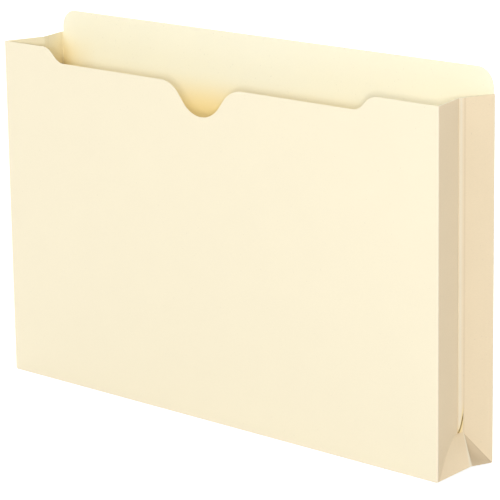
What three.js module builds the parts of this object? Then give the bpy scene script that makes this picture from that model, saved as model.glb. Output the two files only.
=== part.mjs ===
// File jacket: a manila pocket for loose papers, made of one scored, folded and glued board.
// Its panels are separate plates here, one between each pair of fold lines.
// Millimetres. X runs along the width, the front panel faces -Y, and Z is up from the table.

import * as THREE from 'three';

// Overall size

const jacketWidth = 374.65;
const backHeight = 241.3;
const shoulderHeight = 226;
const expandedDepth = 52;
const boardThickness = 0.28;
const bottomCornerRadius = 1.2;

// Top edge of the front panel: two high shoulders, a wide shallow dip and a thumb notch in it.
// The dip and the notch lie a little left of the middle, as on the photographed jacket.

const cutOffset = -4.5;
const dipDepth = 9.5;
const dipHalfWidth = 125.5;
const shoulderCurveRadius = 12;
const shoulderSlope = THREE.MathUtils.degToRad(42);
const notchDepth = 20;
const notchCurveRadius = 20;
const notchSlope = THREE.MathUtils.degToRad(51);

// The back panel's full-width tab, doubled by a strip folded down behind it.

const tabCornerRadius = 12.7;
const tabPlyHeight = 38;

// Gussets. The creases of the side gussets stand inward, and that of the bottom stands up.

const sideCreaseInset = 7.2;
const bottomCreaseHeight = 4.6;
const lapWidth = 4;
const lapBottom = 37.5;

// Corner webs: the small triangles where a side gusset meets the bottom one.

const webRaise = 0.6;
const webHeight = 26;
const webOverhang = 4.6;
const webFreeCornerHeight = 5;

// The curved slit that gapes above each pair of webs, in the front half of the side gusset.

const slitTop = 37;
const slitBottom = 24.2;
const slitReach = 7.8;
const slitWidth = 1;

// Clearances. The plates are parted at the folds, so that they turn freely.

const foldClearance = 0.15;
const creaseClearance = 0.15;
const webClearance = 0.3;
const lapClearance = 0.3;
const floorClearance = 0.05;

// The lower edge of a side gusset starts this high at its fold and meets the slanted edge this
// far along, to clear the bottom gusset when the jacket is folded flat.

const cornerReliefHeight = 4.6;
const cornerReliefReach = 5.7;

// Number of straight steps in each rounded stretch of an outline.

const arcSteps = 10;

// Derived sizes

const halfWidth = jacketWidth / 2;
const halfDepth = expandedDepth / 2;
const middleY = -boardThickness / 2;
const frontOuterY = middleY - halfDepth;
const backOuterY = middleY + halfDepth;
const frontFoldY = frontOuterY + boardThickness + foldClearance;
const backFoldY = backOuterY - boardThickness - foldClearance;
const foldReach = middleY - frontFoldY;
const bottomFoldZ = boardThickness + floorClearance;
const sideFoldX = halfWidth - boardThickness;
const dipHeight = shoulderHeight - dipDepth;

const xAxis = new THREE.Vector3(1, 0, 0);
const yAxis = new THREE.Vector3(0, 1, 0);
const zAxis = new THREE.Vector3(0, 0, 1);

const manilaColor = 0xf7eacb;
const shadedManilaColor = 0xe6cfa6;
const tabColor = 0xfaf0d2;

// Makes a plate of board from an outline drawn on one of its faces. That face passes through
// origin and is spanned by across and along. The board lies on the side that towards points to.
function makeBoard(name, outline, { origin, across, along, towards }, color) {
  const geometry = new THREE.ExtrudeGeometry(outline, {
    depth: boardThickness,
    bevelEnabled: false,
    curveSegments: arcSteps,
  });
  const normal = new THREE.Vector3().crossVectors(across, along);
  if (normal.dot(towards) < 0) {
    geometry.translate(0, 0, -boardThickness);
  }
  const material = new THREE.MeshStandardMaterial({ color, roughness: 0.85, metalness: 0 });
  const mesh = new THREE.Mesh(geometry, material);
  mesh.name = name;
  mesh.position.copy(origin);
  mesh.quaternion.setFromRotationMatrix(new THREE.Matrix4().makeBasis(across, along, normal));
  return mesh;
}

function polygon(points) {
  return new THREE.Shape(points.map(([x, y]) => new THREE.Vector2(x, y)));
}

// Rounds one corner of a full-width panel. side is 1 on the right and -1 on the left, and end
// is 1 at the top and -1 at the bottom. height is that of the corner itself.
function roundCorner(shape, side, end, height, radius) {
  const centreX = side * (halfWidth - radius);
  const centreY = height - end * radius;
  const quarter = Math.PI / 2;
  const start = side > 0 ? Math.min(end, 0) * quarter : quarter + Math.max(-end, 0) * quarter;
  shape.absarc(centreX, centreY, radius, start, start + quarter);
}

// A full-width panel with its top corners rounded.
function tabbedPanel(bottom) {
  const shape = new THREE.Shape();
  if (bottom === 0) {
    shape.moveTo(bottomCornerRadius - halfWidth, 0);
    roundCorner(shape, 1, -1, 0, bottomCornerRadius);
  } else {
    shape.moveTo(-halfWidth, bottom);
    shape.lineTo(halfWidth, bottom);
  }
  roundCorner(shape, 1, 1, backHeight, tabCornerRadius);
  roundCorner(shape, -1, 1, backHeight, tabCornerRadius);
  if (bottom === 0) {
    roundCorner(shape, -1, -1, 0, bottomCornerRadius);
  }
  return shape;
}

// Points of an S-curve: an arc, a straight slope and an arc that bends the other way. It starts
// level at (startX, startY) and ends level, rise higher, going right where side is 1.
function risingCurve(startX, startY, rise, slope, radius, side) {
  const straightRise = rise - 2 * radius * (1 - Math.cos(slope));
  const run = 2 * radius * Math.sin(slope) + straightRise / Math.tan(slope);
  const lower = [];
  const upper = [];
  for (let step = 0; step <= arcSteps; step += 1) {
    const turn = (slope * step) / arcSteps;
    const along = radius * Math.sin(turn);
    const up = radius * (1 - Math.cos(turn));
    lower.push([startX + side * along, startY + up]);
    upper.unshift([startX + side * (run - along), startY + rise - up]);
  }
  return [...lower, ...upper];
}

// The front panel's outline, drawn anticlockwise from the bottom left.
function frontOutline() {
  const shoulderCurve = (side) => {
    const startX = cutOffset + side * dipHalfWidth;
    return risingCurve(startX, dipHeight, dipDepth, shoulderSlope, shoulderCurveRadius, side);
  };
  const notchCurve = (side) => {
    const bottom = dipHeight - notchDepth;
    return risingCurve(cutOffset, bottom, notchDepth, notchSlope, notchCurveRadius, side);
  };
  const topEdge = [
    [halfWidth, shoulderHeight],
    ...shoulderCurve(1).reverse(),
    ...notchCurve(1).reverse(),
    ...notchCurve(-1).slice(1),
    ...shoulderCurve(-1),
    [-halfWidth, shoulderHeight],
  ];
  const shape = new THREE.Shape();
  shape.moveTo(bottomCornerRadius - halfWidth, 0);
  roundCorner(shape, 1, -1, 0, bottomCornerRadius);
  topEdge.forEach(([x, y]) => shape.lineTo(x, y));
  roundCorner(shape, -1, -1, 0, bottomCornerRadius);
  return shape;
}

// The two large panels and the strip that doubles the tab.
function uprightPanels() {
  const upright = (y, towards) => {
    const origin = new THREE.Vector3(0, y, 0);
    return { origin, across: xAxis, along: zAxis, towards };
  };
  const forwards = yAxis.clone().negate();
  const plyBottom = backHeight - tabPlyHeight;
  return [
    makeBoard('front_panel', frontOutline(), upright(frontOuterY, yAxis), manilaColor),
    makeBoard('back_panel', tabbedPanel(0), upright(backOuterY, forwards), manilaColor),
    makeBoard('tab_reinforcing_ply', tabbedPanel(plyBottom), upright(backOuterY, yAxis), tabColor),
  ];
}

// One half of the bottom gusset, which slopes up from its fold to the centre crease. Its upper
// face passes through its fold, and its underside ends at the crease.
// end is -1 at the front panel and 1 at the back one.
function bottomHalf(name, end) {
  const foldY = end < 0 ? frontFoldY : backFoldY;
  const creaseRise = bottomCreaseHeight - bottomFoldZ;
  const reach = Math.sqrt(foldReach ** 2 + creaseRise ** 2 - boardThickness ** 2);
  const tilt = Math.atan2(creaseRise, foldReach) + Math.atan2(boardThickness, reach);
  const outline = polygon([
    [-sideFoldX, foldClearance],
    [sideFoldX, foldClearance],
    [sideFoldX, reach - creaseClearance],
    [-sideFoldX, reach - creaseClearance],
  ]);
  const placing = {
    origin: new THREE.Vector3(0, foldY, bottomFoldZ),
    across: xAxis,
    along: new THREE.Vector3(0, -end * Math.cos(tilt), Math.sin(tilt)),
    towards: zAxis.clone().negate(),
  };
  return makeBoard(name, outline, placing, shadedManilaColor);
}

// The inner face of one half of a side gusset, from its fold to the crease. Its origin is on the
// fold, at the table's height. side is 1 on the right and -1 on the left.
function gussetFace(side, end) {
  const foldY = end < 0 ? frontFoldY : backFoldY;
  const origin = new THREE.Vector3(side * sideFoldX, foldY, 0);
  const slope = new THREE.Vector3(-side * sideCreaseInset, -end * foldReach, 0);
  const reach = slope.length();
  const outward = new THREE.Vector3(side * foldReach, -end * sideCreaseInset, 0).normalize();
  return { origin, across: slope.normalize(), along: zAxis, towards: outward, reach };
}

// Both edges of the slit, from its mouth at the crease down to its end and back to the crease.
// Its middle is a quadratic curve, and it narrows to half its width at its end.
function slitEdges(creaseEdge) {
  const middle = new THREE.QuadraticBezierCurve(
    new THREE.Vector2(creaseEdge, slitTop),
    new THREE.Vector2(creaseEdge - slitReach / 3, (slitTop + slitBottom) / 2),
    new THREE.Vector2(creaseEdge - slitReach, slitBottom),
  );
  const lower = [];
  const upper = [];
  for (let step = 0; step <= arcSteps; step += 1) {
    const share = step / arcSteps;
    const { x, y } = middle.getPoint(share);
    const halfGap = (slitWidth / 2) * (1 - share / 2);
    lower.push([x, y - halfGap]);
    upper.unshift([x, y + halfGap]);
  }
  return [...lower, ...upper];
}

// One half of a side gusset. Its slanted lower edge climbs from the fold to the crease, above
// its corner web.
function gussetHalf(name, side, end) {
  const face = gussetFace(side, end);
  const creaseEdge = face.reach - creaseClearance;
  const slantStart = webRaise + webClearance * Math.SQRT2;
  const slantHeight = (across) => slantStart + (webHeight * across) / face.reach;
  const outline = polygon([
    [foldClearance, cornerReliefHeight],
    [cornerReliefReach, slantHeight(cornerReliefReach)],
    [creaseEdge, slantHeight(creaseEdge)],
    ...(end < 0 ? slitEdges(creaseEdge) : []),
    [creaseEdge, shoulderHeight],
    [foldClearance, shoulderHeight],
  ]);
  return makeBoard(name, outline, face, shadedManilaColor);
}

// The glued lap: a narrow strip of the front half that lies on the back half, along the crease.
function gussetLap(name, side) {
  const face = gussetFace(side, 1);
  const lift = boardThickness + lapClearance;
  const creaseEdge = face.reach - creaseClearance - lift;
  const outline = polygon([
    [creaseEdge - lapWidth, lapBottom],
    [creaseEdge, lapBottom],
    [creaseEdge, shoulderHeight],
    [creaseEdge - lapWidth, shoulderHeight],
  ]);
  const origin = face.origin.clone().addScaledVector(face.towards, lift);
  return makeBoard(name, outline, { ...face, origin }, shadedManilaColor);
}

// A corner web: a triangle that hangs from the slanted edge of its gusset half. Its free corner
// stands out past the side and a little up, and there it meets the web of the other half.
function cornerWeb(name, side, end) {
  const face = gussetFace(side, end);
  const lift = boardThickness + creaseClearance;
  const corner = face.origin.clone().addScaledVector(face.towards, lift).setZ(webRaise);
  const tip = corner.clone().addScaledVector(face.across, face.reach).setZ(webRaise + webHeight);
  const freeX = side * (halfWidth + webOverhang);
  const freeY = middleY + end * creaseClearance;
  const free = new THREE.Vector3(freeX, freeY, webFreeCornerHeight);
  const along = tip.clone().sub(corner);
  const length = along.length();
  along.normalize();
  const across = free.clone().sub(corner);
  const freeAlong = across.dot(along);
  across.addScaledVector(along, -freeAlong);
  const freeAcross = across.length();
  across.normalize();
  const outline = polygon([
    [0, webClearance],
    [freeAcross, freeAlong],
    [0, length - 2 * webClearance],
  ]);
  const towards = new THREE.Vector3(-side, 0, 0);
  return makeBoard(name, outline, { origin: corner, across, along, towards }, shadedManilaColor);
}

function sideGusset(label, side) {
  return [
    gussetHalf(`${label}_gusset_front_half`, side, -1),
    gussetHalf(`${label}_gusset_back_half`, side, 1),
    gussetLap(`${label}_gusset_lap`, side),
    cornerWeb(`${label}_corner_web_front`, side, -1),
    cornerWeb(`${label}_corner_web_back`, side, 1),
  ];
}

const fileJacket = new THREE.Group();
fileJacket.add(
  ...uprightPanels(),
  bottomHalf('bottom_gusset_front_half', -1),
  bottomHalf('bottom_gusset_back_half', 1),
  ...sideGusset('right', 1),
  ...sideGusset('left', -1),
);

export default fileJacket;
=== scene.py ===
# %% [markdown]
# # A manila file jacket
# A file jacket is a wide paper pocket that stands on its own. It is one sheet of thin board, cut, scored,
# folded and glued. This lesson makes each panel as a thin closed board whose shape is worked out with numpy.
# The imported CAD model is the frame: it gives every plane, every height and every hinge.

# %% Load the frame and keep its box
import math
from collections import namedtuple
import bpy
import numpy as np
from mathutils import Matrix, Vector


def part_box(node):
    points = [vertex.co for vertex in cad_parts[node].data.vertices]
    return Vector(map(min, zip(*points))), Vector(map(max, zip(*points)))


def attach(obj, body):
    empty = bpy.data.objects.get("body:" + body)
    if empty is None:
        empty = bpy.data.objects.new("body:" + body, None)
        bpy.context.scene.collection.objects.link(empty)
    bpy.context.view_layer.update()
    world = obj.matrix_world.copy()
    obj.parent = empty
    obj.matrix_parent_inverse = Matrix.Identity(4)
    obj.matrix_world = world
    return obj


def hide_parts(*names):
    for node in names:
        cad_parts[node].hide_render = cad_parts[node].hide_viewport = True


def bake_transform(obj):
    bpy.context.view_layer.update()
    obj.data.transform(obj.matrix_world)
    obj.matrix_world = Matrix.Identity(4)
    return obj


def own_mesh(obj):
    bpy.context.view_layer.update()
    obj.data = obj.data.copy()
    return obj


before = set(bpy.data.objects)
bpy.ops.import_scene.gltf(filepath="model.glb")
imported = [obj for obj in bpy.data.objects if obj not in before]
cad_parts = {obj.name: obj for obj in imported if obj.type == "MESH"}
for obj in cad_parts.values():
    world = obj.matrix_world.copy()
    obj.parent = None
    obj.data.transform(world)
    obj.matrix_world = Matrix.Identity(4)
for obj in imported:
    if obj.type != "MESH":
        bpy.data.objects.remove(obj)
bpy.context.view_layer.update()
MM = 0.001


def box_mm(node):
    """Lowest and highest corner of a CAD node, in millimetres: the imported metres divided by 0.001."""
    low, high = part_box(node)
    return np.array(low) / MM, np.array(high) / MM


front_low, front_high = box_mm("front_panel")
back_low, back_high = box_mm("back_panel")
ply_low, ply_high = box_mm("tab_reinforcing_ply")
print("front panel", front_low.round(2), front_high.round(2), "tab up to", back_high[2].round(2))

# %% [markdown]
# ## Sizes of the board
# The board is about a quarter of a millimetre thick, so its two faces and its cut edges are all real here.
# All lengths below are in millimetres, as a paper maker notes them, and become metres only in the mesh.
# Each panel stops a little before its folds, and the piece beyond the fold brings the rounded fold itself.

# %% Sizes of the board
HALF = (front_high[1] - front_low[1]) / 2  # half the board's thickness
FRONT_Y = (front_low[1] + front_high[1]) / 2  # middle of the front board
BACK_Y = (back_low[1] + back_high[1]) / 2  # middle of the back board
OUTER_X = front_high[0]  # half the jacket's width
SHOULDER_Z, TAB_Z = front_high[2], back_high[2]
FOLD_RADIUS = 0.45  # of the board's middle, at a score line
FOLD_X = OUTER_X - HALF - FOLD_RADIUS  # where the side folds start to turn
FOLD_Z = HALF + FOLD_RADIUS  # where the bottom folds start to turn
PANEL_X, PANEL_Z = FOLD_X - 0.45, FOLD_Z + 0.5  # the flat panels stop here
print("half thickness", round(HALF, 3), "planes", round(FRONT_Y, 2), round(BACK_Y, 2))

# %% [markdown]
# ## Thin boards as closed meshes
# A sheet of board could be a plane with a Solidify modifier. Here both faces are worked out as grids of points
# instead, so that two boards can meet in a true mitre and a free edge shows its real thickness.
# The faces of a board are its outer grid, its inner grid turned round, and a rim that joins the two borders.

# %% Faces of a closed board


def board_faces(points, rows, cols):
    """Four-sided faces of a board from the points of its two grids: both skins, then the rim.
    Returns the faces, how many are in the rim, the border's points and the volume: a sixth of the sum of
    a.(b x c) over the triangles. If it is negative, every face is turned round."""
    count = rows * cols
    index = np.arange(count).reshape(rows, cols)
    skin = np.stack([index[:-1, :-1], index[:-1, 1:], index[1:, 1:], index[1:, :-1]], -1).reshape(-1, 4)
    border = np.concatenate([index[0, :-1], index[:-1, -1], index[-1, :0:-1], index[:0:-1, 0]])
    after = np.roll(border, -1)
    rim = np.stack([after, border, border + count, after + count], -1)
    quads = np.concatenate([skin, skin[:, ::-1] + count, rim])
    a, b, c, d = (points[quads[:, k]] for k in range(4))
    volume = ((np.cross(b, c) * a).sum() + (np.cross(c, d) * a).sum()) / 6
    return quads if volume >= 0 else quads[:, ::-1], len(rim), border, abs(volume)


# %% [markdown]
# The rim faces are flat shaded and take a second material, because a cut edge looks lighter than the face.
# Four attributes travel with the points. One is high along an outer fold: a lighter line, partly worn fibres and
# partly a painted highlight. One is high in a score line: a pressed line with painted shade, and it also carries
# painted shade on the back sails and a painted shadow at the slits. One is 1 on inner faces. And one is high where
# a painted warm glow stands for light from the pocket: on inner faces well below the mouth, and beside the slits,
# where it is called glow.

# %% Closed board from two grids
# Score lines and painted shade share one darker mark, and the inner face takes this share of it.
INNER_PRESSED_SHADE = 0.4  # share of a score line's mark on the inner face


def closed_board(name, outer, inner, faces, edge, wear_highlight=0.0, pressed_and_shade=0.0, painted_glow=0.0, glow=0.0):
    """Object of a board from two grids of points, rows by columns, in millimetres.
    The edges of the rim are marked sharp, so that the faces stay evenly lit up to the border."""
    rows, cols = outer.shape[:2]
    points = np.concatenate([outer.reshape(-1, 3), inner.reshape(-1, 3)]) * MM
    quads, rim_count, border, volume = board_faces(points, rows, cols)
    mesh = bpy.data.meshes.new(name)
    mesh.from_pydata(points.tolist(), [], quads.tolist())
    is_rim = np.arange(len(quads)) >= len(quads) - rim_count
    mesh.polygons.foreach_set("use_smooth", ~is_rim)
    mesh.polygons.foreach_set("material_index", is_rim.astype(np.int32))
    # Painted light rides in these masks: a highlight along folds, shade and shadow, and a warm glow.
    masks = {"wear_highlight": (wear_highlight, 0.0), "pressed_and_shade": (pressed_and_shade, INNER_PRESSED_SHADE * pressed_and_shade), "painted_glow": (glow, painted_glow),
             "inside": (0.0, 1.0)}
    for label, two_faces in masks.items():
        values = np.concatenate([np.broadcast_to(v, (rows, cols)).ravel() for v in two_faces])
        mesh.attributes.new(label, "FLOAT", "POINT").data.foreach_set("value", values)
    mesh.materials.append(faces)
    mesh.materials.append(edge)
    mesh.update(calc_edges=True)
    on_border = np.zeros(len(points), bool)
    on_border[border] = on_border[border + rows * cols] = True
    ends = np.empty(2 * len(mesh.edges), np.int32)
    mesh.edges.foreach_get("vertices", ends)
    sharp = on_border[ends.reshape(-1, 2)].all(1)
    mesh.attributes.new("sharp_edge", "BOOLEAN", "EDGE").data.foreach_set("value", sharp)
    piece = bpy.data.objects.new(name, mesh)
    bpy.context.scene.collection.objects.link(piece)
    print(name, len(quads), "faces,", round(volume / MM ** 3), "cubic mm")
    return piece


# %% [markdown]
# The middle surface of a board is an outline that is carried along a straight axis. Its two faces lie half a
# thickness out and in from there, along normals that go with each point of the outline.

# %% Middle surface and its two faces


def carried(profile, normal, axis, start, end, steps):
    """Points of a sheet: each point of a profile is carried along one straight axis.
    Point (i, j) = profile point j + axis * (start j + (end j - start j) * step i). The normals go with it."""
    along = start + (end - start) * steps[:, None]
    middle = profile[None] + along[..., None] * np.asarray(axis, float)
    return middle, np.broadcast_to(normal[None], middle.shape)


def both_faces(middle, normal, half=HALF):
    """Outer and inner face of a board: its middle moved along the normal, out and in by half its thickness."""
    return middle + normal * half, middle - normal * half


# %% [markdown]
# ## The look of manila board
# Manila board is buff paper: a cream ground with long fibres, faint clouds and a few darker specks.
# One node group makes that for every material, so only its values differ from piece to piece.
# Small helpers keep the groups short: they add a node, set its sockets by name and link it to others.

# %% Node helpers


def add(tree, kind, inputs=None, **settings):
    """New node in a tree. Settings are the node's own properties, inputs are values or sockets to link from."""
    node = tree.nodes.new(kind)
    for key, value in settings.items():
        setattr(node, key, value)
    for key, value in (inputs or {}).items():
        if isinstance(value, bpy.types.NodeSocket):
            tree.links.new(value, node.inputs[key])
        else:
            node.inputs[key].default_value = value
    return node


def math_node(tree, operation, *values):
    """One Math node; returns its output."""
    return add(tree, "ShaderNodeMath", dict(enumerate(values)), operation=operation).outputs[0]


def mixed(tree, factor, one, other, blend="MIX"):
    """One Mix node for colours; returns its colour."""
    node = add(tree, "ShaderNodeMix", {"Factor": factor, "A": one, "B": other}, data_type="RGBA", blend_type=blend)
    return node.outputs["Result"]


def new_group(name, inputs, outputs):
    """Node group with named inputs (kind, start value) and outputs (kind); returns it and what it is given."""
    tree = bpy.data.node_groups.new(name, "ShaderNodeTree")
    for label, (kind, value) in inputs.items():
        tree.interface.new_socket(label, in_out="INPUT", socket_type=kind).default_value = value
    for label, kind in outputs.items():
        tree.interface.new_socket(label, in_out="OUTPUT", socket_type=kind)
    return tree, add(tree, "NodeGroupInput").outputs


# %% [markdown]
# Colours are written as on a paint chart, and the waves of a noise are counted to the metre, as the scene is.

# %% Colours and noise
COLOUR, NUMBER = "NodeSocketColor", "NodeSocketFloat"


def srgb(red, green, blue):
    """Colour of a paint chart, 0 to 255, as the linear values that Blender works in.
    Above the toe each value is ((v + 0.055) / 1.055) to the power 2.4."""
    v = np.array([red, green, blue]) / 255
    return (*np.where(v > 0.04045, ((v + 0.055) / 1.055) ** 2.4, v / 12.92), 1.0)


def noise(tree, place, waves, detail, roughness=0.5):
    """Noise with so many waves to the metre; returns its height from 0 to 1."""
    return add(tree, "ShaderNodeTexNoise", {
        "Vector": place, "Scale": waves, "Detail": detail, "Roughness": roughness}).outputs["Fac"]


# %% [markdown]
# The fibre group has three layers. Fine noise with more waves upright is the felt of fibres, which the paper
# machine lays mostly one way. Broad noise is the cloudy look of pulp. The few peaks of a third noise are specks.
# It reads Object coordinates, and all pieces sit at the origin, so the grain runs on from one piece to the next.
# Its Height output is only a few hundredths of a millimetre deep: it breaks up the light but draws no lumps.

# %% Group: board fibre
BUFF = srgb(248, 238, 209)
FELT_SHARE, TOOTH_SHARE = 0.6, 0.4  # of the height

fibre, given = new_group(
    "board_fibre",
    {"Color": (COLOUR, BUFF), "Grain": (NUMBER, 0.03), "Cloud": (NUMBER, 0.02), "Speck": (NUMBER, 0.1)},
    {"Color": COLOUR, "Shade": NUMBER, "Height": NUMBER, "Roughness": NUMBER})
place = add(fibre, "ShaderNodeTexCoord").outputs["Object"]
stretched = add(fibre, "ShaderNodeMapping", {"Vector": place, "Scale": (1.0, 1.0, 3.2)}).outputs[0]
felt = noise(fibre, stretched, waves=620.0, detail=4.0, roughness=0.62)
tooth = noise(fibre, place, waves=1900.0, detail=2.0)
cloud = noise(fibre, place, waves=34.0, detail=3.0)
dots = noise(fibre, place, waves=760.0, detail=0.0)
speck = add(fibre, "ShaderNodeMapRange", {"Value": dots, "From Min": 0.80, "From Max": 0.86}).outputs[0]
grain_shade = math_node(fibre, "MULTIPLY", math_node(fibre, "SUBTRACT", felt, 0.5), given["Grain"])
cloud_shade = math_node(fibre, "MULTIPLY", math_node(fibre, "SUBTRACT", cloud, 0.5), given["Cloud"])
speck_shade = math_node(fibre, "MULTIPLY", speck, given["Speck"])
grained = math_node(fibre, "ADD", math_node(fibre, "ADD", 1.0, grain_shade), cloud_shade)
shade = math_node(fibre, "SUBTRACT", grained, speck_shade)
height = math_node(fibre, "MULTIPLY_ADD", felt, FELT_SHARE, math_node(fibre, "MULTIPLY", tooth, TOOTH_SHARE))
rough = add(fibre, "ShaderNodeMapRange", {"Value": felt, "To Min": 0.6, "To Max": 0.8}).outputs[0]
toned = mixed(fibre, 1.0, given["Color"], shade, "MULTIPLY")
add(fibre, "NodeGroupOutput", {"Color": toned, "Shade": shade, "Height": height, "Roughness": rough})
print("group", fibre.name, len(fibre.nodes), "nodes")

# %% [markdown]
# Where board is scored and folded, its surface breaks a little. An outer fold looks lighter, partly because the
# fibres stand up and partly from a painted highlight where the rounded fold meets the light. The inside of a score
# line looks darker: pressed board with painted shade in the crease. Light that comes through the board makes the
# pocket look warmer with depth, and the group paints that light as a warm glow by mixing in a full buff.
# It takes the four attributes as inputs, so the lines sit exactly on the folds of each piece.

# %% Group: score lines and painted light
# Its colours paint light: a lighter highlight colour, a darker shade colour and a warm glow colour.
scores_and_light, given = new_group(
    "score_lines_and_painted_light",
    {"Color": (COLOUR, BUFF), "Shade": (NUMBER, 1.0), "Height": (NUMBER, 0.5),
     "Wear_Highlight": (NUMBER, 0.0), "Pressed_And_Shade": (NUMBER, 0.0), "Painted_Glow": (NUMBER, 0.0), "Inside": (NUMBER, 0.0),
     "Inside Color": (COLOUR, srgb(254, 249, 225)), "Wear Highlight Color": (COLOUR, srgb(255, 250, 232)),
     "Pressed Shade Color": (COLOUR, srgb(170, 140, 100)), "Painted Glow Color": (COLOUR, srgb(255, 230, 165)),
     "Wear Highlight Amount": (NUMBER, 0.6), "Pressed Shade Amount": (NUMBER, 0.5)},
    {"Color": COLOUR, "Height": NUMBER})
wear_highlight_part = math_node(scores_and_light, "MULTIPLY", given["Wear_Highlight"], given["Wear Highlight Amount"])
pressed_and_shade_part = math_node(scores_and_light, "MULTIPLY", given["Pressed_And_Shade"], given["Pressed Shade Amount"])
inner_face = mixed(scores_and_light, 1.0, given["Shade"], given["Inside Color"], "MULTIPLY")
face = mixed(scores_and_light, given["Inside"], given["Color"], inner_face)
# Painted warm glow, which stands for light that comes through the board and bounces in the pocket.
with_painted_glow = mixed(scores_and_light, given["Painted_Glow"], face, given["Painted Glow Color"])
# Lighter along outer folds: wear, and a painted highlight where the fold meets the light.
lighter = mixed(scores_and_light, wear_highlight_part, with_painted_glow, given["Wear Highlight Color"])
# Darker in score lines: pressed board and painted shade, and also the painted shade and shadow of other marks.
darker = mixed(scores_and_light, pressed_and_shade_part, lighter, given["Pressed Shade Color"])
lower = math_node(scores_and_light, "SUBTRACT", given["Height"], pressed_and_shade_part)
add(scores_and_light, "NodeGroupOutput", {"Color": darker, "Height": lower})
print("group", scores_and_light.name, len(scores_and_light.nodes), "nodes")

# %% [markdown]
# Every material is these two groups in front of one Principled shader. Paper has almost no gloss, so the specular
# level is low. It is set on the shader itself, where an exporter can read it. The cut edge is lighter and rougher
# than the faces, because there the die has opened the fibres.

# %% Materials of the board


def board_material(name, colour, inside, grain=0.05, cloud=0.02, speck=0.07, wear_highlight=0.5, pressed_and_shade=0.22, bump=0.00006):
    """Board finish: fibre group, then score lines and painted light, into one Principled shader with a bump so many
    metres deep.
    """
    material = bpy.data.materials.new(name)
    material.use_nodes = True
    tree = material.node_tree
    tree.nodes.clear()
    felted = add(tree, "ShaderNodeGroup", {"Color": colour, "Grain": grain, "Cloud": cloud, "Speck": speck},
                 node_tree=fibre).outputs
    # Amounts of the painted highlight on folds and of the pressed lines with painted shade.
    lines = {"Inside Color": inside, "Wear Highlight Amount": wear_highlight, "Pressed Shade Amount": pressed_and_shade}
    for label in ("Color", "Shade", "Height"):
        lines[label] = felted[label]
    for label in ("wear_highlight", "pressed_and_shade", "painted_glow", "inside"):
        lines[label.title()] = add(tree, "ShaderNodeAttribute", attribute_name=label).outputs["Fac"]
    lined = add(tree, "ShaderNodeGroup", lines, node_tree=scores_and_light).outputs
    bumped = add(tree, "ShaderNodeBump", {"Height": lined["Height"], "Strength": 0.5, "Distance": bump}).outputs[0]
    shader = add(tree, "ShaderNodeBsdfPrincipled", {
        "Base Color": lined["Color"], "Roughness": felted["Roughness"], "Normal": bumped, "Specular IOR Level": 0.25})
    add(tree, "ShaderNodeOutputMaterial", {0: shader.outputs[0]})
    return material


TAB_BUFF, EDGE_BUFF = srgb(250, 241, 214), srgb(254, 248, 230)
panel_board = board_material("manila_panel_board", srgb(249, 239, 211), srgb(254, 249, 225))
# The gusset board is the same manila, painted warmer and darker as shade, since the side faces stand turned from the
# light.
shaded_gusset_board = board_material("manila_shaded_gusset_board", srgb(251, 231, 196), srgb(254, 245, 217), grain=0.08, cloud=0.03)
tab_board = board_material("manila_tab_board", TAB_BUFF, TAB_BUFF)
cut_edge = board_material("manila_cut_edge", EDGE_BUFF, EDGE_BUFF, grain=0.16, cloud=0.0, speck=0.0, bump=0.0001)
print("materials", [m.name for m in (panel_board, shaded_gusset_board, tab_board, cut_edge)])

# %% [markdown]
# ## The front panel
# The die cuts the front panel's top edge: two high shoulders, an S-shaped drop into a wide shallow dip, and a
# thumb notch in the dip. Each drop is two equal arcs joined by a straight slope, which one function can give.

# %% Top edge of the front panel
CUT_X, DIP_HALF, DIP_DROP, NOTCH_DROP = -4.5, 125.5, 9.5, 20.0
SHOULDER_CURVE, SHOULDER_SLOPE = 12.0, math.radians(42)
NOTCH_CURVE, NOTCH_SLOPE = 20.0, math.radians(51)


def drop_length(drop, radius, slope):
    """How wide a drop is: 2 r sin(slope) for its arcs, and the rest of the drop over tan(slope)."""
    return 2 * radius * math.sin(slope) + (drop - 2 * radius * (1 - math.cos(slope))) / math.tan(slope)


def drop_depth(distance, drop, radius, slope):
    """Depth below the upper edge at a distance from where the drop starts.
    First arc: r - sqrt(r^2 - d^2). Last arc: the same from the other end. Between them: a straight slope."""
    length, turn = drop_length(drop, radius, slope), radius * math.sin(slope)
    d = np.clip(distance, 0, length)
    first = radius - np.sqrt(np.maximum(radius ** 2 - np.minimum(d, turn) ** 2, 0))
    last = drop - radius + np.sqrt(np.maximum(radius ** 2 - np.minimum(length - d, turn) ** 2, 0))
    middle = radius * (1 - math.cos(slope)) + (d - turn) * math.tan(slope)
    return np.where(d < turn, first, np.where(d > length - turn, last, middle))


SHOULDER_LENGTH = drop_length(DIP_DROP, SHOULDER_CURVE, SHOULDER_SLOPE)
NOTCH_LENGTH = drop_length(NOTCH_DROP, NOTCH_CURVE, NOTCH_SLOPE)


def front_edge(x):
    """Height of the front panel's top edge: the shoulders, less the dip's drop and the notch's drop."""
    away = np.abs(x - CUT_X)
    dip = drop_depth(DIP_HALF + SHOULDER_LENGTH - away, DIP_DROP, SHOULDER_CURVE, SHOULDER_SLOPE)
    notch = drop_depth(NOTCH_LENGTH - away, NOTCH_DROP, NOTCH_CURVE, NOTCH_SLOPE)
    return SHOULDER_Z - dip - notch


print("the dip drops over", round(SHOULDER_LENGTH, 1), "mm, the notch over", round(NOTCH_LENGTH, 1), "mm")

# %% [markdown]
# A flat panel is a row of columns, each from the lower fold up to the edge above it. The columns are close together
# only where the edge curves, so the mesh stays light.

# %% Front panel
SHOULDER_POINTS, FRONT_ROWS = 6, 25


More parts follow.
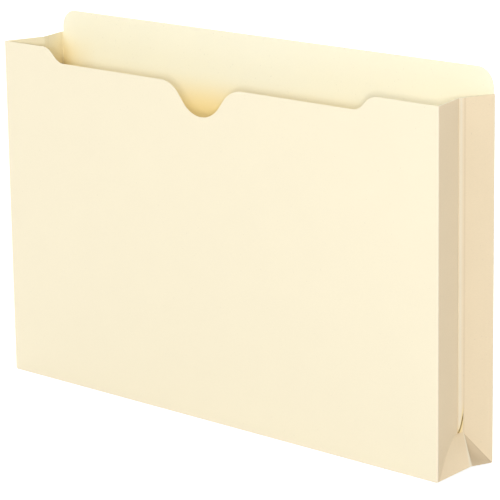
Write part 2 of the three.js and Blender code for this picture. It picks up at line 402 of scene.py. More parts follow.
def upright(x, y, facing, bottom, top, rows):
    """Middle surface and normals of a flat panel in the plane y. Column j runs from the bottom up to top j.
    Facing is -1 where the outer face looks forward, and otherwise 1."""
    profile = np.stack([x, np.full_like(x, y), np.zeros_like(x)], -1)
    normal = np.broadcast_to(np.array([0.0, facing, 0.0]), profile.shape)
    return carried(profile, normal, (0, 0, 1), np.full_like(x, bottom), top, np.linspace(0, 1, rows))


away = np.unique(np.concatenate([
    np.linspace(0, NOTCH_LENGTH, 45), np.linspace(NOTCH_LENGTH, DIP_HALF, 11),
    np.linspace(DIP_HALF, DIP_HALF + SHOULDER_LENGTH, 33)]).round(5))
left_shoulder = np.linspace(-PANEL_X, CUT_X - away[-1], SHOULDER_POINTS)[:-1]
right_shoulder = np.linspace(CUT_X + away[-1], PANEL_X, SHOULDER_POINTS)[1:]
front_x = np.concatenate([left_shoulder, CUT_X - away[::-1], CUT_X + away[1:], right_shoulder])
middle, normal = upright(front_x, FRONT_Y, -1, PANEL_Z, front_edge(front_x), FRONT_ROWS)
front_board = closed_board("front_board", *both_faces(middle, normal), panel_board, cut_edge)
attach(front_board, "front")
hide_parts("front_panel")

# %% [markdown]
# ## The back panel and its tab
# The back panel stands a finger's width higher than the front, and that part is the tab. Its corners are rounded,
# and its ends are cut a millimetre inside the side folds. So the outermost columns of the grid end at the height
# of the gussets, and all the others end at the tab's edge.
# Its inner face gets a painted warm glow below the mouth, which stands for light inside the pocket. Near the side
# folds the painted glow starts higher, as in the photo.
# A bell over a distance draws this, and every other soft line on the board.

# %% Painted warm glow inside the pocket
# Painted warm glow: it starts at the mouth and is full at the deep level.
MOUTH_Z, DEEP_Z = 213.0, 186.0  # the tint starts at the mouth and is full at the deep level
CORNER_GLOW, CORNER_WIDTH, CORNER_FADE = 0.6, 18.0, 16.0


def ridge(distance, width):
    """A bell over a distance: e to the power of minus (distance / width) squared."""
    return np.exp(-(distance / width) ** 2)


def eased(t):
    """Smoothstep of t between 0 and 1: t * t * (3 - 2 t)."""
    t = np.clip(t, 0, 1)
    return t * t * (3 - 2 * t)


def pocket_glow(points):
    """Share of the painted warm glow at a point: 0 above the mouth, 1 from the deep level on.
    Glow = 1 - (1 - level) * (1 - corner), where corner is a bell of the distance to the side folds."""
    z = points[..., 2]
    level = eased((MOUTH_Z - z) / (MOUTH_Z - DEEP_Z))
    near_fold = ridge(OUTER_X - np.abs(points[..., 0]), CORNER_WIDTH)
    corner = CORNER_GLOW * near_fold * eased((SHOULDER_Z - z) / CORNER_FADE)
    return 1 - (1 - level) * (1 - corner)


print("the tint is full below", DEEP_Z, "mm, and", CORNER_GLOW, "at the side folds")

# %% [markdown]
# The back panel's columns are close together at the rounded corners of the tab. The tab's edge takes its width
# and its top as inputs, because a second ply will have the same shape.

# %% Back panel
TAB_CORNER, TAB_HALF, BACK_ROWS = 12.0, OUTER_X - 1.2, 61
WIDE_UP_TO, CLOSE_FROM = 170.0, 174.1  # columns wide apart up to here, and close together from here


def tab_edge(x, half, top):
    """Height of the tab's edge: its top, and near each end a quarter circle, top - r + sqrt(r^2 - d^2)."""
    into = np.clip(np.abs(x) - (half - TAB_CORNER), 0, TAB_CORNER)
    return top - TAB_CORNER + np.sqrt(TAB_CORNER ** 2 - into ** 2)


def mirrored(x):
    """Places on both sides of the middle, from places that start at 0."""
    return np.concatenate([-x[:0:-1], x])


tab_x = np.concatenate([np.linspace(0, WIDE_UP_TO, 12), np.linspace(CLOSE_FROM, TAB_HALF - 1, 18),
                        [TAB_HALF - 0.4, TAB_HALF - 0.1, TAB_HALF]])
back_x = mirrored(np.append(tab_x, [TAB_HALF + 0.001, PANEL_X]))
back_top = np.where(np.abs(back_x) > TAB_HALF, SHOULDER_Z, tab_edge(back_x, TAB_HALF, TAB_Z))
middle, normal = upright(back_x, BACK_Y, 1, PANEL_Z, back_top, BACK_ROWS)
# The back panel's inner face takes the painted warm glow.
back_board = closed_board("back_board", *both_faces(middle, normal), panel_board, cut_edge, painted_glow=pocket_glow(middle))
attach(back_board, "back")
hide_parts("back_panel")

# %% [markdown]
# The tab is two plies thick: a strip of the same board is glued behind it, because fingers and drawers wear the
# tab first. Its edge sits a hair inside the tab's edge, as glued plies do, so that the two plies can be told apart.

# %% Tab ply
PLY_INSET, PLY_ROWS, PLY_Y = 0.12, 9, (ply_low[1] + ply_high[1]) / 2
ply_half = TAB_HALF - PLY_INSET
ply_x = mirrored(tab_x) * ply_half / TAB_HALF
middle, normal = upright(ply_x, PLY_Y, 1, ply_low[2], tab_edge(ply_x, ply_half, TAB_Z - PLY_INSET), PLY_ROWS)
tab_ply = closed_board("tab_ply", *both_faces(middle, normal), tab_board, cut_edge)
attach(tab_ply, "back")
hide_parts("tab_reinforcing_ply")

# %% [markdown]
# ## The side gussets
# Each side is a gusset of two halves with a crease between them that points into the jacket. Seen from above, a
# half is a short flat bit of the panel, a small round fold, and a long straight run to the crease. One function
# gives that outline for the corner at +X and +Y, and the other three corners are its mirror images.

# %% Outline with a rounded fold
Outline = namedtuple("Outline", "points normals length arc run")
ARC_POINTS = 10


def turned_profile(start, centre, target, stops):
    """Outline of a board that turns round a small arc and runs straight to a target, in a plane (p, q).
    The flat start lies at q = centre q + r. The straight run touches the arc where its normal makes the angle
    a = angle(target - centre) + acos(r / distance). Stops are places on the run, and those below 0 count from
    its end. Length is 0 where the arc ends, and arc holds its two ends."""
    reach = np.asarray(target) - centre
    touch = math.atan2(reach[1], reach[0]) + math.acos(FOLD_RADIUS / np.hypot(*reach))
    turn = np.linspace(math.pi / 2, touch, ARC_POINTS)
    arc_normal = np.stack([np.cos(turn), np.sin(turn)], -1)
    arc = centre + FOLD_RADIUS * arc_normal
    arc_length = FOLD_RADIUS * (turn[0] - turn)
    flat_p = np.array([start, (start + centre[0]) / 2])
    flat = np.stack([flat_p, np.full(2, centre[1] + FOLD_RADIUS)], -1)
    run = np.hypot(*(np.asarray(target) - arc[-1]))
    stops = np.unique(np.round([s if s >= 0 else run + s for s in stops] + [run], 6))
    line = arc[-1] + (np.asarray(target) - arc[-1]) * (stops / run)[:, None]
    points = np.concatenate([flat, arc, line])
    normals = np.concatenate([np.tile(arc_normal[0], (2, 1)), arc_normal, np.tile(arc_normal[-1], (len(stops), 1))])
    length = np.concatenate([flat_p - centre[0], arc_length - arc_length[-1], stops])
    return Outline(points, normals, length, arc[[0, -1]], run)


def moved(outline, place):
    """Outline whose points, normals and arc ends all go through the same function."""
    return outline._replace(points=place(outline.points), normals=place(outline.normals), arc=place(outline.arc))


# %% [markdown]
# The left crease lies less deep and further forward than the right one, as the photo shows.
# The stops are close together at the fold, under the glued lap and at the crease, where the surface changes most.

# %% Outlines of the four gusset halves
SIDES = {"right": 1, "left": -1}
ENDS = {"front": (-1, -FRONT_Y), "back": (1, BACK_Y)}
CREASE = {"right": (7.5, 1.2), "left": (6.8, 3.4)}  # how far a crease lies inside the folds, and its y
LAP_WIDTH = 4.15  # the glued lap beside each side crease
GUSSET_STOPS = (0.25, 0.5, 1.0, 2.0, 3.5, 5.2, 7.5, 10, 12.5, 15,
                -5.5, -4.6, -LAP_WIDTH, -3.2, -2.2, -1.4, -0.9, -0.5, -0.2)


def gusset_outline(side_name, end_name):
    """Outline of one gusset half in its own corner of the jacket: x times the side's sign, y times the end's."""
    side, (end, panel_y) = SIDES[side_name], ENDS[end_name]
    inset, crease_y = CREASE[side_name]
    crease = (FOLD_X + FOLD_RADIUS - inset, crease_y * end)
    centre = np.array([FOLD_X, panel_y - FOLD_RADIUS])
    corner = turned_profile(PANEL_X, centre, crease, GUSSET_STOPS)
    return moved(corner, lambda pairs: np.column_stack([pairs * (side, end), np.zeros(len(pairs))]))


outlines = {(side_name, end_name): gusset_outline(side_name, end_name) for side_name in SIDES for end_name in ENDS}
for names, outline in outlines.items():
    print(*names, "half runs", round(outline.run, 2), "mm to the crease")

# %% [markdown]
# Near the floor the gusset turns outward into two small corner webs, so its lower edge is the fold of the webs.
# On the front half that fold is a quarter of a parabola up to the crease, and on the back half a straight line.
# The back half stops at the glued lap, and the front half ends in the crease, where both boards use the corner's
# own direction, as in the mitre of a picture frame.

# %% The four gusset halves
WEB_TOP, WEB_RISE = 22.9, 1.07  # the front fold's end, and how steeply the back one rises
# A lighter line along the outer fold: wear, and a painted highlight where the rounded fold meets the light.
WEB_START, WEB_LOW = 0.4, 0.5  # where the back fold would start, and the lowest height of both
WEAR_HIGHLIGHT_BEFORE, WEAR_HIGHLIGHT_WIDTH = 0.35, 0.6  # the worn line lies a little before the end of the arc
# Darker lines at a half's end: pressed board and painted shade in the crease and beside the lap.
PRESSED_SHADE_WIDTH = {"front": 0.45, "back": 0.5}
# A gusset takes this share of the painted warm glow.
GUSSET_GLOW_SHARE = 0.6  # a gusset takes this share of the warm tint
LOW_PART = 0.1  # the rows are close together in the lowest tenth
ROUNDING = 1e-5
gusset_rows = np.concatenate([np.linspace(0, LOW_PART, 16)[:-1], np.linspace(LOW_PART, 1, 20)])


def mitre(one, other):
    """Corner direction of two boards that meet: the sum of their normals over 1 + their dot product."""
    return (one + other) / (1 + (one * other).sum(-1, keepdims=True))


def half_run(end_name, outline):
    """How long a gusset half runs: to the crease in front, and to the glued lap at the back."""
    return outline.run if end_name == "front" else outline.run - LAP_WIDTH


def web_fold(end_name, length, run):
    """Height of the fold of the web over the length from the side fold.
    Front: top * (1 - (1 - length / run)^2). Back: a straight rise, up to the lap."""
    share = np.clip(length / run, 0, 1)
    if end_name == "front":
        return np.maximum(WEB_TOP * (1 - (1 - share) ** 2), WEB_LOW)
    return np.maximum(WEB_START + WEB_RISE * np.minimum(length, run - LAP_WIDTH), WEB_LOW)


for (side_name, end_name), outline in outlines.items():
    stop = half_run(end_name, outline)
    keep = outline.length <= stop + ROUNDING
    points, normals, s = outline.points[keep], outline.normals[keep], outline.length[keep]
    if end_name == "front":
        normals[-1] = mitre(normals[-1], outlines[side_name, "back"].normals[-1])
    middle, normal = carried(points, normals, (0, 0, 1), web_fold(end_name, s, outline.run),
                             np.full(len(s), SHOULDER_Z), gusset_rows)
    # Each half gets wear and a painted highlight on its outer fold, painted shade at its end, and the painted warm
    # glow.
    piece = closed_board(f"{side_name}_gusset_{end_name}", *both_faces(middle, normal), shaded_gusset_board, cut_edge,
                         painted_glow=GUSSET_GLOW_SHARE * pocket_glow(middle), wear_highlight=ridge(s + WEAR_HIGHLIGHT_BEFORE, WEAR_HIGHLIGHT_WIDTH),
                         pressed_and_shade=ridge(stop - s, PRESSED_SHADE_WIDTH[end_name]))
    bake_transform(piece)
    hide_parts(f"{side_name}_gusset_{end_name}_half")

# %% [markdown]
# ## The glued laps
# Along each crease a narrow lap of the front half is glued onto the back half, so the board is double there.
# Its free edge is the fine line beside the crease. At the bottom the lap is cut in a curve, and a slit parts it
# from the web below. The slit's line is a power curve, steep at the free edge and flat at the crease.

# %% The slit and what it does to the board beside it
SLIT_TOP, SLIT_REACH, SLIT_POWER, SLIT_WIDTH = 35.1, 4.3, 1.75, 0.9
# A painted shadow line at the slit's edges, where shade falls into the gap.
SLIT_SHADOW, SLIT_SHADOW_WIDTH = 2.0, 0.3  # strength and width of the dark line at its edges
# A painted warm glow beside the slit, as if light came through it from the pocket.
GLOW_WIDTH, GLOW_PER_GAP = 1.4, 1.5  # warm light beside it reaches further where it gapes more


def slit_height(away):
    """Height of the slit's middle line over the distance from the crease, and half its gap measured upright.
    Height = web top + rise * (away / reach)^power. The gap grows with the slope: width / 2 * sqrt(1 + slope^2)."""
    rise = SLIT_TOP - WEB_TOP
    share = away / SLIT_REACH
    slope = rise * SLIT_POWER / SLIT_REACH * share ** (SLIT_POWER - 1)
    return WEB_TOP + rise * share ** SLIT_POWER, SLIT_WIDTH / 2 * np.sqrt(1 + slope ** 2)


def slit_marks(distance, gap):
    """Painted shadow line and painted warm glow over the upright distance from the slit: two bells."""
    return SLIT_SHADOW * ridge(distance, SLIT_SHADOW_WIDTH), ridge(distance, GLOW_WIDTH + GLOW_PER_GAP * gap)


def unit(vectors):
    """Vectors divided by their own lengths."""
    return vectors / np.linalg.norm(vectors, axis=-1, keepdims=True)


def beside_crease(side_name, away):
    """Points and normals on the back half, over the distance from its crease: crease + direction * distance.
    Right at the crease the normal is the mitre with the front half."""
    back, front = outlines[side_name, "back"], outlines[side_name, "front"]
    crease = back.points[-1]
    normals = np.tile(back.normals[-1], (len(away), 1))
    normals[away == 0] = mitre(front.normals[-1], back.normals[-1])
    return crease + unit(back.points[-2] - crease) * away[:, None], normals


heights, gaps = slit_height(np.array([0.0, LAP_WIDTH]))
print("slit from", heights.round(1), "mm high, half gap", gaps.round(2))

# %% [markdown]
# The lap is three half thicknesses out from the middle, a double board, and falls back to one at the crease.
# Below the slit a small tongue fills the corner between the slit and the web. Both ride on the back half.

# %% Laps and the small tongues below them
LAP_STOPS = np.array([0, 0.3, 0.6, 1.0, 1.5, 2.0, 2.5, 3.0, 3.4, 3.8, 4.0, LAP_WIDTH])
LAP_OUT, LAP_OUT_FREE = 3.0, 2.6  # outer face in half thicknesses, and at the free edge
# Darker lines at the lap's two edges: pressed board and painted shade.
LAP_MARK, CREASE_LINE, FREE_LINE = 0.6, 0.4, 0.3  # strength and widths of the lines at its two edges
# A lighter strip on the lap beside the crease: a painted highlight.
LAP_HIGHLIGHT, LAP_HIGHLIGHT_AT, LAP_HIGHLIGHT_WIDTH = 0.8, 1.6, 1.2
TONGUE_FROM, TONGUE_BELOW = 0.5, 0.3  # it starts beside the crease, a little below the web's top
TONGUE_LEAST, TONGUE_COLUMNS, TONGUE_ROWS = 0.1, 12, 13


def make_lap(side_name):
    """Lap from the slit up to the gusset's top, thickened outward."""
    points, normals = beside_crease(side_name, LAP_STOPS)
    height, gap = slit_height(LAP_STOPS)
    top = np.full(len(LAP_STOPS), SHOULDER_Z)
    middle, normal = carried(points, normals, (0, 0, 1), height + gap, top, gusset_rows)
    out_by = np.full(len(LAP_STOPS), LAP_OUT)
    out_by[0], out_by[-1] = 1.0, LAP_OUT_FREE
    # Painted shadow and painted warm glow beside the slit, and pressed lines with painted shade at the lap's edges.
    line, glow = slit_marks(middle[..., 2] - middle[:1, :, 2], gap)
    edges = LAP_MARK * (ridge(LAP_STOPS, CREASE_LINE) + ridge(LAP_WIDTH - LAP_STOPS, FREE_LINE))
    return closed_board(f"{side_name}_lap", middle + normal * (out_by * HALF)[:, None], middle - normal * HALF,
                        shaded_gusset_board, cut_edge, pressed_and_shade=np.maximum(edges, line),
                        wear_highlight=LAP_HIGHLIGHT * ridge(LAP_STOPS - LAP_HIGHLIGHT_AT, LAP_HIGHLIGHT_WIDTH),
                        glow=glow, painted_glow=np.maximum(glow, GUSSET_GLOW_SHARE * pocket_glow(middle)))


def make_tongue(side_name):
    """Tongue from the fold of the webs up to the slit. Its lower edge is a straight line."""
    away = np.linspace(TONGUE_FROM, LAP_WIDTH, TONGUE_COLUMNS)
    points, normals = beside_crease(side_name, away)
    height, gap = slit_height(away)
    inner_low = WEB_TOP - TONGUE_BELOW
    outer_low = WEB_START + WEB_RISE * half_run("back", outlines[side_name, "back"])
    low = inner_low + (outer_low - inner_low) * away / LAP_WIDTH
    high = np.maximum(height - gap, low + TONGUE_LEAST)
    middle, normal = carried(points, normals, (0, 0, 1), low, high, np.linspace(0, 1, TONGUE_ROWS))
    # Painted shadow and painted warm glow beside the slit.
    line, glow = slit_marks(middle[-1:, :, 2] - middle[..., 2], gap)
    return closed_board(f"{side_name}_tongue", *both_faces(middle, normal), shaded_gusset_board, cut_edge,
                        pressed_and_shade=line, glow=glow, painted_glow=glow)


for side_name in SIDES:
    lap = make_lap(side_name)
    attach(lap, f"{side_name}_side_back")
    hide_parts(f"{side_name}_gusset_lap")
    tongue = make_tongue(side_name)
    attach(tongue, f"{side_name}_side_back")

# %% [markdown]
# ## The corner webs
# Where a side gusset meets the bottom gusset, the spare board stands out as two small sails that share a ridge.
# Each sail is a ruled surface: straight lines run from its fold on the gusset to the ridge. The ridge is a
# quadratic curve from a low corner that sticks out furthest, up to a point beside the slit. The front sail is
# almost flat and the back one hollow, which a product of two sines adds.

# %% Shape of the sails
WEB_FOOT = np.array([191.0, 0.6, 4.8])
WEB_MIDDLE = np.array([187.7, 1.8, 13.5])
WEB_TIP_SHIFT = np.array([0.35, -0.2, 0.3])  # the ridge ends just outside the end of the back fold
WEB_BULGE = {"front": -0.1, "back": -2.2}
FOLD_FROM = 0.1  # the sails start this far along a gusset half
v = np.linspace(0, 1, 25)[:, None]  # up along the fold and the ridge
u = np.append(np.linspace(0, 0.9, 13), [0.94, 0.97, 0.99, 1.0])  # across, from the fold to the ridge


def at_length(outline, length):
    """Points (x, y) of an outline at lengths beyond its arc, between its own points."""
    return np.stack([np.interp(length, outline.length, outline.points[:, k]) for k in range(2)], -1)


def surface_normal(points, toward):
    """Unit normals of a grid: the cross product of its two differences, turned to agree with toward."""
    n = unit(np.cross(np.gradient(points, axis=1), np.gradient(points, axis=0)))
    return n * np.sign((n * toward).sum())


def sail_ridge(side_name):
    """Quadratic curve of the ridge: (1 - v)^2 foot + 2 v (1 - v) middle + v^2 tip."""
    mirror = (SIDES[side_name], 1, 1)
    back = outlines[side_name, "back"]
    stop = half_run("back", back)
    tip = np.array([*at_length(back, stop), WEB_START + WEB_RISE * stop]) + WEB_TIP_SHIFT * mirror
    return (1 - v) ** 2 * WEB_FOOT * mirror + 2 * v * (1 - v) * WEB_MIDDLE * mirror + v ** 2 * tip


def sail_sheet(side_name, end_name):
    """Middle of a sail: lines from its fold to the ridge, swollen by bulge * sin(pi u) * sin(pi v).
    Its normals point away from x = 0."""
    outline = outlines[side_name, end_name]
    s = np.linspace(FOLD_FROM, half_run(end_name, outline), len(v))
    fold = np.column_stack([at_length(outline, s), web_fold(end_name, s, outline.run)])
    sheet = (1 - u[:, None]) * fold[:, None] + u[:, None] * sail_ridge(side_name)[:, None]
    swell = WEB_BULGE[end_name] * np.sin(math.pi * u) * np.sin(math.pi * v)
    sheet = sheet + surface_normal(sheet, sheet * (1, 0, 0)) * swell[..., None]
    return sheet, surface_normal(sheet, sheet * (1, 0, 0))


print("sails of", len(v), "by", len(u), "points")

# %% [markdown]
# The front sail's fold is curved, so the sail has to bend as the jacket is pressed flat. Each front sail gets a
# mesh of its own.

# %% Corner webs
WEB_SHADE = {"front": 0.15, "back": 1.35}  # the hollow back sail catches less light
SHADE_FROM, SHADE_EASE = 0.98, 0.06  # the shade fades out just before the ridge
# A painted highlight along the ridge, and a pressed line with painted shade at the fold.
RIDGE_HIGHLIGHT, FOLD_PRESSED_SHADE, FOLD_MARK = 0.05, 0.04, 0.5  # widths of the lines on a sail, and the last one's strength


for side_name in SIDES:
    sails = {end_name: sail_sheet(side_name, end_name) for end_name in ENDS}
    corner = mitre(sails["front"][1][:, -1], sails["back"][1][:, -1])
    for end_name, (sheet, normal) in sails.items():
        normal[:, -1] = corner
        shade = WEB_SHADE[end_name] * eased((SHADE_FROM - u) / SHADE_EASE)
        # Each sail gets a painted highlight on its ridge, and painted shade on its fold and over the hollow back
        # sail.
        sail = closed_board(f"{side_name}_web_{end_name}", *both_faces(sheet, normal), shaded_gusset_board, cut_edge,
                            wear_highlight=ridge(1 - u, RIDGE_HIGHLIGHT), pressed_and_shade=FOLD_MARK * ridge(u, FOLD_PRESSED_SHADE) + shade)
        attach(sail, f"{side_name}_web_{end_name}")
        if end_name == "front":
            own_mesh(sail)
        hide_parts(f"{side_name}_corner_web_{end_name}")

# %% [markdown]
# ## The bottom gusset
# The bottom is scored like the sides: two halves rise gently to a centre crease inside the pocket. Each half
# takes in the rounded fold of its panel.

# %% Halves of the bottom gusset
CENTRE_Y, CENTRE_Z = -0.14, 4.6  # the centre crease
STRIP_HALF = 0.9  # half the width of the rounded strip at the crease
BOTTOM_STOPS = (0.25, 0.6, 1.5, 4, 8, 12, 16, 20, 24, -0.5)
# Pressed lines with painted shade in the bottom's crease.
BOTTOM_PRESSED_SHADE, STRIP_PRESSED_SHADE = 1.2, 0.5  # width of the pressed line on a half and on the strip
ACROSS_POINTS = 33
BOTTOM_SLOPE = (CENTRE_Z - FOLD_Z) / BACK_Y
STRIP_Z = CENTRE_Z - BOTTOM_SLOPE * STRIP_HALF  # height where the strip starts


def across_jacket(points, normals):
    """Middle surface and normals of a board that reaches from one side of the jacket to the other."""
    width = np.full(len(points), PANEL_X)
    return carried(points, normals, (1, 0, 0), -width, width, np.linspace(0, 1, ACROSS_POINTS))


def bottom_outline(end_name):
    """Outline of one half of the bottom in the plane x = 0: y = q times the end's sign, and z = -p."""
    end, panel_y = ENDS[end_name]
    centre = np.array([-FOLD_Z, panel_y - FOLD_RADIUS])
    outline = turned_profile(-PANEL_Z, centre, (-STRIP_Z, CENTRE_Y * end + STRIP_HALF), BOTTOM_STOPS)
    return moved(outline, lambda pairs: np.column_stack([np.zeros(len(pairs)), pairs[:, 1] * end, -pairs[:, 0]]))


bottom_outlines = {end_name: bottom_outline(end_name) for end_name in ENDS}
for end_name, outline in bottom_outlines.items():
    middle, normal = across_jacket(outline.points, outline.normals)
    # Each half gets wear and a painted highlight on its outer fold, and painted shade in its crease.
    half = closed_board(f"bottom_{end_name}", *both_faces(middle, normal), shaded_gusset_board, cut_edge,
                        wear_highlight=ridge(outline.length + WEAR_HIGHLIGHT_BEFORE, WEAR_HIGHLIGHT_WIDTH),
                        pressed_and_shade=ridge(outline.run - outline.length, BOTTOM_PRESSED_SHADE))
    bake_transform(half)
    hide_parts(f"bottom_gusset_{end_name}_half")

# %% [markdown]
# A short strip in the middle carries the round top of the crease. It is a parabola that leaves the halves at
# their own slope.

# %% Crease of the bottom gusset
y = np.linspace(CENTRE_Y - STRIP_HALF, CENTRE_Y + STRIP_HALF, 13)
crown = BOTTOM_SLOPE / (2 * STRIP_HALF)
z = STRIP_Z + crown * (STRIP_HALF ** 2 - (y - CENTRE_Y) ** 2)
down = unit(np.stack([np.zeros_like(y), -2 * crown * (y - CENTRE_Y), -np.ones_like(y)], -1))
middle, normal = across_jacket(np.stack([np.zeros_like(y), y, z], -1), down)
bottom_crease = closed_board("bottom_crease", *both_faces(middle, normal), shaded_gusset_board, cut_edge,
                             pressed_and_shade=ridge(y - CENTRE_Y, STRIP_PRESSED_SHADE))
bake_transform(bottom_crease)

# %% [markdown]
# At its two ends the bottom turns up into the corner webs. These narrow feet close the corner from the bottom's
# end to the low rim of the webs. Each is a ruled surface too. A foot crumples as the jacket folds flat, so it
# rides on the bottom.

# %% Feet of the corner webs
FOOT_POINTS, FOOT_ACROSS = 17, 6
FOOT_HALF, FOOT_FROM = 0.12, 0.5  # half its thickness, and how far from the panel it starts
w = np.linspace(0, 1, FOOT_POINTS)[:, None]  # along the foot, from the panel to the middle
t = np.linspace(0, 1, FOOT_ACROSS)[:, None]  # across it, from the bottom's end to the rim


def bottom_height(end_name, y):
    """Height of the bottom's middle surface at y on one end's side, with a straight rise at the crease."""
    points, end = bottom_outlines[end_name].points, ENDS[end_name][0]
    order = np.argsort(points[:, 1] * end)
    height = np.interp(y, points[order, 1] * end, points[order, 2])
    past = y - CENTRE_Y * end
    return np.where(past < STRIP_HALF, CENTRE_Z - BOTTOM_SLOPE * past, height)


def foot_sheet(side_name, end_name):
    """Middle of a foot and its normals, which point down: lines from the bottom's end to the rim of the webs."""
    side, (end, panel_y) = SIDES[side_name], ENDS[end_name]
    y_end = np.linspace(panel_y - FOOT_FROM, CENTRE_Y * end, FOOT_POINTS)
    inner_line = np.stack([np.full(FOOT_POINTS, side * PANEL_X), y_end * end, bottom_height(end_name, y_end)], -1)
    corner = np.array([*at_length(outlines[side_name, end_name], FOLD_FROM), WEB_LOW])
    rim_line = (1 - w) * corner + w * WEB_FOOT * (side, 1, 1)
    sheet = (1 - t) * inner_line[:, None] + t * rim_line[:, None]
    return sheet, surface_normal(sheet, (0, 0, -1))


for side_name, side in SIDES.items():
    for end_name in ENDS:
        foot = closed_board(f"{side_name}_foot_{end_name}", *both_faces(*foot_sheet(side_name, end_name), FOOT_HALF),
                            shaded_gusset_board, cut_edge)
        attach(foot, f"bottom_{end_name}")
        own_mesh(foot)

# %% [markdown]
# ## Camera
# The photograph looks at the front from its right and from a little above, with a long lens. The camera's place
# comes from matching the jacket's corners, with a slight roll. It is built from three vectors: back, right and up.

# %% Camera
AZIMUTH, ELEVATION, ROLL = math.radians(43.981), math.radians(13.534), math.radians(-0.830)
DISTANCE, FOCAL_PIXELS, FRAME_PIXELS, SENSOR = 1.7209, 2725.1, 500, 36.0
AIM = np.array([0.01038, 0.00075, 0.10917])


def direction(azimuth, elevation):
    """Unit vector that points from the jacket to a place at an azimuth to the right of the front."""
    level = math.cos(elevation)
    return np.array([math.sin(azimuth) * level, -math.cos(azimuth) * level, math.sin(elevation)])


def stand(data, x_axis, y_axis, z_axis, place):
    """Object of a camera or lamp in the scene: the columns of its matrix are its three axes and its place."""
    thing = bpy.data.objects.new(data.name, data)
    bpy.context.scene.collection.objects.link(thing)
    turn = np.eye(4)
    turn[:3] = np.stack([x_axis, y_axis, z_axis, place], -1)
    thing.matrix_world = Matrix(turn.tolist())
    return thing


backward = direction(AZIMUTH, ELEVATION)
level = unit(np.cross(-backward, (0, 0, 1)))
steep = np.cross(level, -backward)
camera_data = bpy.data.cameras.new("camera")
camera_data.sensor_width = SENSOR
camera_data.lens = FOCAL_PIXELS / FRAME_PIXELS * SENSOR
camera_data.clip_end = 50
bpy.context.scene.camera = stand(
    camera_data, level * math.cos(ROLL) + steep * math.sin(ROLL), steep * math.cos(ROLL) - level * math.sin(ROLL),
    backward, AIM + backward * DISTANCE)
print("camera at", (AIM + backward * DISTANCE).round(3), "lens", round(camera_data.lens, 1), "mm")

# %% [markdown]
# ## Floor and light
# The photo's ground is plain white and shows no shadow. So the floor glows for the camera, through Light Path,
# which adds no light to the board. For the board it stays a soft grey.

# %% Floor
FLOOR_GREY, FLOOR_GLOW, FLOOR_Z = 0.6, 0.9, -0.0002


def for_the_eye(tree):
    """1 for rays that show in the picture, straight, mirrored or through glass, and 0 for rays of light."""
    rays = add(tree, "ShaderNodeLightPath").outputs
    straight = math_node(tree, "MAXIMUM", rays["Is Camera Ray"], rays["Is Glossy Ray"])
    return math_node(tree, "MAXIMUM", straight, rays["Is Transmission Ray"])


bpy.ops.mesh.primitive_plane_add(size=16, location=(0, 0, FLOOR_Z))
floor = bpy.context.object
floor.name = "floor"
floor_paint = bpy.data.materials.new("floor_paint")
floor_paint.use_nodes = True
tree = floor_paint.node_tree
paint = tree.nodes["Principled BSDF"]
paint.inputs["Base Color"].default_value = (FLOOR_GREY, FLOOR_GREY, FLOOR_GREY, 1)
paint.inputs["Roughness"].default_value = 0.9
paint.inputs["Specular IOR Level"].default_value = 0.0
strength = math_node(tree, "MULTIPLY", for_the_eye(tree), FLOOR_GLOW)
glow = add(tree, "ShaderNodeEmission", {"Color": (1, 1, 1, 1), "Strength": strength})
both = add(tree, "ShaderNodeAddShader", {0: paint.outputs[0], 1: glow.outputs[0]})
tree.links.new(both.outputs[0], tree.nodes["Material Output"].inputs[0])
floor.data.materials.append(floor_paint)
print("floor at", FLOOR_Z, "m")

# %% [markdown]
# Paper shows its folds only under soft, even light. The world gives half of it from all round, and is dimmer for
# the board than for the camera's eye. Suns with a wide angle stand for large studio lamps: they light every face
# of one direction alike, as lamps far away do. One lights the front, and the others the rear and the left side.

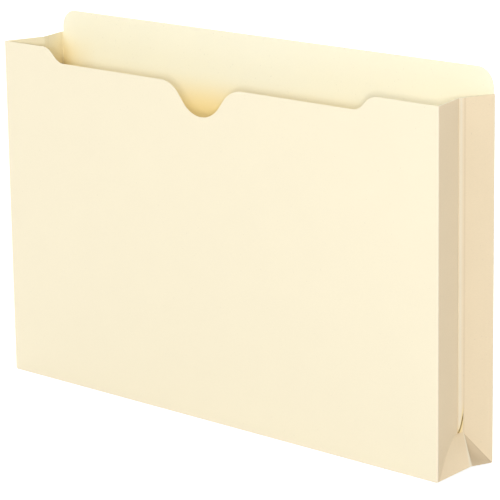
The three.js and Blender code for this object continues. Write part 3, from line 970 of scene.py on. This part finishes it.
# %% World and lamps
WORLD_LIGHT, WORLD_WHITE = 0.5, 1.0
LIT, LAMP_DISTANCE = np.array([0.0, -0.025, 0.2]), 3.0  # the point that the lamps look at, and from how far
SOFT_ANGLE = math.radians(24)
SOFT_LIGHT = {
    "front_light": ((0, -0.8, 0.6), 0.78),
    "left_light": ((-0.6, -0.7, 0.6), 0.2),
    "rear_light": ((-0.25, 0.8, 0.6), 1.65),
    "far_left_light": ((-0.9, 0.15, 0.6), 0.5),
}

world = bpy.data.worlds.new("studio")
world.use_nodes = True
tree = world.node_tree
tree.nodes.clear()
light = add(tree, "ShaderNodeBackground", {"Color": (1, 1, 1, 1), "Strength": WORLD_LIGHT}).outputs[0]
white = add(tree, "ShaderNodeBackground", {"Color": (1, 1, 1, 1), "Strength": WORLD_WHITE}).outputs[0]
sky = add(tree, "ShaderNodeMixShader", {0: for_the_eye(tree), 1: light, 2: white}).outputs[0]
add(tree, "ShaderNodeOutputWorld", {0: sky})
bpy.context.scene.world = world


def aimed(data, toward):
    """Object of a lamp that stands at LIT + toward * LAMP_DISTANCE. Its -Z axis points back at LIT."""
    z_axis = unit(np.array(toward, float))
    x_axis = unit(np.cross((0, 0, 1), z_axis))
    return stand(data, x_axis, np.cross(z_axis, x_axis), z_axis, LIT + z_axis * LAMP_DISTANCE)


for name, (toward, strength) in SOFT_LIGHT.items():
    sun = bpy.data.lights.new(name, "SUN")
    sun.energy, sun.angle = strength, SOFT_ANGLE
    aimed(sun, toward)
    print(name, strength)

# %% [markdown]
# One lamp stands close beside the camera, a little lower and to its left. It draws the soft dark line that the
# front panel throws on the back panel, just above the front's edge. A disk of light gives that line its blur.
# Its power is pi * distance squared * the light wanted on a surface that faces it.

# %% Lamp beside the camera
LAMP_AZIMUTH, LAMP_ELEVATION = math.radians(42.9), math.radians(8.4)
LAMP_LIGHT, LAMP_SIZE = 0.94, 0.22
disk = bpy.data.lights.new("camera_light", "AREA")
disk.shape, disk.size = "DISK", LAMP_SIZE
disk.energy = math.pi * LAMP_DISTANCE ** 2 * LAMP_LIGHT
beside_camera = aimed(disk, direction(LAMP_AZIMUTH, LAMP_ELEVATION))
beside_camera.visible_camera = False
bpy.context.scene.view_settings.view_transform = "Standard"
print("lamp beside the camera", round(disk.energy, 1), "W")
